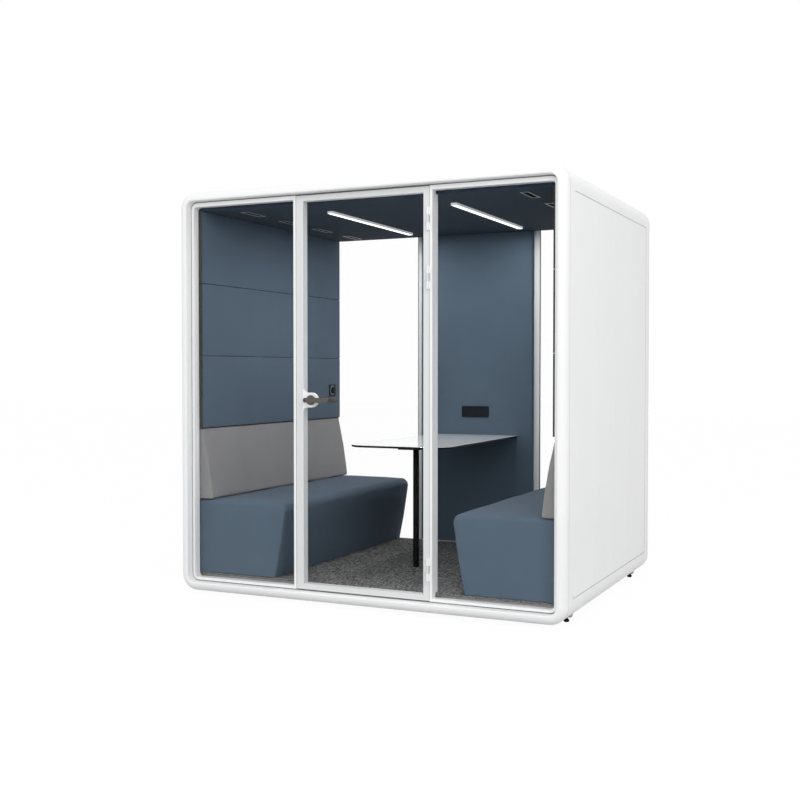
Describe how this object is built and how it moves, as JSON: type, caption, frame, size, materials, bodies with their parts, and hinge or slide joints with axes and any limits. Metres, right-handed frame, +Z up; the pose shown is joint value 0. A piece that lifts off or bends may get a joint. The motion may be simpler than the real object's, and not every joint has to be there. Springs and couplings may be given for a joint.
{
  "type": "acoustic office pod",
  "caption": "Free-standing glazed office pod with a hinged glass door, facing upholstered benches, a table, ceiling lamps, vents, levelling feet and wheels.",
  "frame": {"origin": "on the ground, in the middle of the footprint", "axes": "+X to the right seen from the front, +Y towards the back, +Z up; the door is on the -Y side"},
  "size_m": [2.2, 1.774, 2.204],
  "materials": {
    "white_paint": "satin white powder coat",
    "blue_fabric": "fine matt slate blue weave",
    "grey_fabric": "fine matt warm grey weave",
    "carpet": "heathered loop pile",
    "clear_glass": "clear polished",
    "white_laminate": "smooth matt white with a dark core",
    "black_metal": "matt black powder coat",
    "black_plastic": "fine matt grain",
    "lever_steel": "satin bronze grey",
    "lamp_aluminium": "satin anodised",
    "lamp_diffuser": "opal, lit",
    "grey_nylon": "matt light grey"
  },
  "bodies": {
    "pod": {"front_trim": "white_paint", "rear_trim": "white_paint", "roof_shell": "white_paint", "floor_base": "white_paint", "right_side_panel": "white_paint", "left_side_panel": "white_paint", "right_wall_lining_1": "blue_fabric", "left_wall_lining_1": "blue_fabric", "right_wall_lining_2": "blue_fabric", "left_wall_lining_2": "blue_fabric", "right_wall_lining_3": "blue_fabric", "left_wall_lining_3": "blue_fabric", "ceiling_panel": "blue_fabric", "carpet": "carpet", "rear_wall_lining": "blue_fabric", "rear_wall_panel": "white_paint", "front_right_frame": "white_paint", "front_left_frame": "white_paint", "rear_right_frame": "white_paint", "rear_left_frame": "white_paint", "front_right_glass": "clear_glass", "front_left_glass": "clear_glass", "rear_right_glass": "clear_glass", "rear_left_glass": "clear_glass", "lower_hinge": "white_paint", "middle_hinge": "white_paint", "upper_hinge": "white_paint", "right_bench": "blue_fabric", "left_bench": "blue_fabric", "right_backrest": "grey_fabric", "left_backrest": "grey_fabric", "table_top": "white_laminate", "table_bracket": "black_metal", "table_post": "black_metal", "right_lamp_housing": "lamp_aluminium", "left_lamp_housing": "lamp_aluminium", "right_lamp_diffuser": "lamp_diffuser", "left_lamp_diffuser": "lamp_diffuser", "right_air_duct": "black_plastic", "left_air_duct": "black_plastic", "fan_frame": "black_plastic", "power_outlet": "black_plastic", "control_plate": "black_plastic"},
    "door": {"door_frame": "white_paint", "door_glass": "clear_glass", "outer_rosette": "white_paint", "inner_rosette": "lever_steel"},
    "lever": {"outer_lever": "lever_steel", "inner_lever": "lever_steel"},
    "latch": {"latch_bolt": "lever_steel"},
    "fan": {"fan_impeller": "black_plastic"},
    "knob": {"control_knob": "black_plastic"},
    "front_left_wheel": {"front_left_wheel": "grey_nylon"},
    "rear_left_wheel": {"rear_left_wheel": "grey_nylon"},
    "front_right_wheel": {"front_right_wheel": "grey_nylon"},
    "rear_right_wheel": {"rear_right_wheel": "grey_nylon"},
    "front_left_foot": {"front_left_foot": "black_metal"},
    "rear_left_foot": {"rear_left_foot": "black_metal"},
    "front_right_foot": {"front_right_foot": "black_metal"},
    "rear_right_foot": {"rear_right_foot": "black_metal"}
  },
  "joints": [
    {"name": "door_swing", "type": "hinge", "parent": "pod", "child": "door", "pos_m": [0.377, -0.852, 1.1], "axis": [0, 0, 1], "range_deg": [0, 105]},
    {"name": "lever_turn", "type": "hinge", "parent": "door", "child": "lever", "pos_m": [-0.294, -0.82, 1.076], "axis": [0, 1, 0], "range_deg": [0, 45], "stiffness_Nm_per_rad": 1.5, "springref_deg": -34.38},
    {"name": "latch_slide", "type": "slide", "parent": "door", "child": "latch", "axis": [1, 0, 0], "range_m": [0, 0.01]},
    {"name": "fan_spin", "type": "hinge", "parent": "pod", "child": "fan", "pos_m": [0, 0.16, 2.147], "axis": [0, 0, 1], "continuous": true},
    {"name": "control_knob_turn", "type": "hinge", "parent": "pod", "child": "knob", "pos_m": [-0.995, 0.701, 1.098], "axis": [1, 0, 0], "range_deg": [0, 270]},
    {"name": "front_left_wheel_spin", "type": "hinge", "parent": "pod", "child": "front_left_wheel", "pos_m": [-1.03, -0.58, 0.031], "axis": [1, 0, 0], "continuous": true},
    {"name": "rear_left_wheel_spin", "type": "hinge", "parent": "pod", "child": "rear_left_wheel", "pos_m": [-1.03, 0.726, 0.031], "axis": [1, 0, 0], "continuous": true},
    {"name": "front_right_wheel_spin", "type": "hinge", "parent": "pod", "child": "front_right_wheel", "pos_m": [1.03, -0.58, 0.031], "axis": [1, 0, 0], "continuous": true},
    {"name": "rear_right_wheel_spin", "type": "hinge", "parent": "pod", "child": "rear_right_wheel", "pos_m": [1.03, 0.726, 0.031], "axis": [1, 0, 0], "continuous": true},
    {"name": "front_left_foot_slide", "type": "slide", "parent": "pod", "child": "front_left_foot", "axis": [0, 0, 1], "range_m": [-0.012, 0]},
    {"name": "rear_left_foot_slide", "type": "slide", "parent": "pod", "child": "rear_left_foot", "axis": [0, 0, 1], "range_m": [-0.012, 0]},
    {"name": "front_right_foot_slide", "type": "slide", "parent": "pod", "child": "front_right_foot", "axis": [0, 0, 1], "range_m": [-0.012, 0]},
    {"name": "rear_right_foot_slide", "type": "slide", "parent": "pod", "child": "rear_right_foot", "axis": [0, 0, 1], "range_m": [-0.012, 0]}
  ],
  "couplings": [
    {"joint": "latch_slide", "follows": "lever_turn", "m_per_rad": 0.0127}
  ]
}
